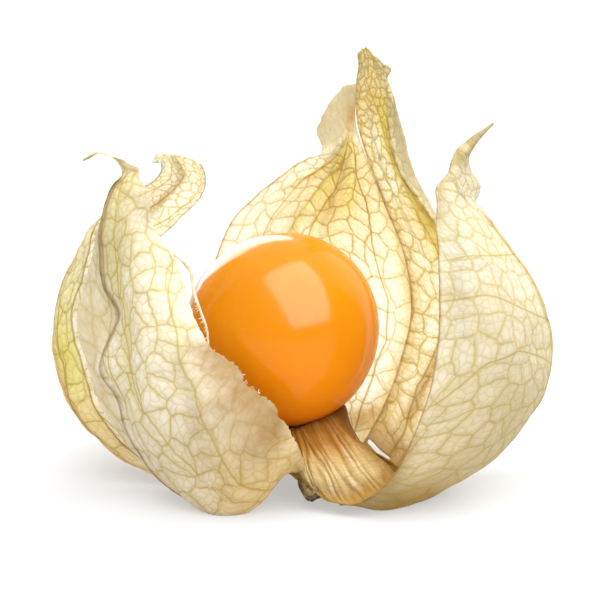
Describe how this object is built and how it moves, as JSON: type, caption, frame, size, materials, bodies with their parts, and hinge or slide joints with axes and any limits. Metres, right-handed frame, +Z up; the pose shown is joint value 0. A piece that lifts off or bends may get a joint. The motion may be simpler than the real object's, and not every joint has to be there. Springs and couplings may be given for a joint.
{
  "type": "physalis berry",
  "caption": "Round orange berry standing in its papery husk, which is torn open from the tip into cupped, curling lobes and still joined at the foot round a short dry stalk.",
  "frame": {"origin": "on the resting surface, under the centre of the bounding box", "axes": "+X along the widest spread of the husk, from the left lobe to the right lobe; +Y away from the side where the husk is torn open widest; +Z up"},
  "size_m": [0.0502, 0.0318, 0.0424],
  "materials": {
    "berry_skin": "smooth waxy skin over juicy flesh, glossy",
    "dry_stalk": "dry, matt, greenish brown",
    "husk_foot": "dry pleated paper, tan with dark brown streaks at the stalk",
    "husk_paper": "dry papery membrane, cream to straw, with a net of ochre veins"
  },
  "bodies": {
    "root": {"berry": "berry_skin", "stalk": "dry_stalk", "husk_foot": "husk_foot", "sepal_front_left": "husk_paper", "sepal_left": "husk_paper", "sepal_back_left": "husk_paper", "sepal_back_right": "husk_paper", "sepal_right": "husk_paper"}
  },
  "joints": []
}
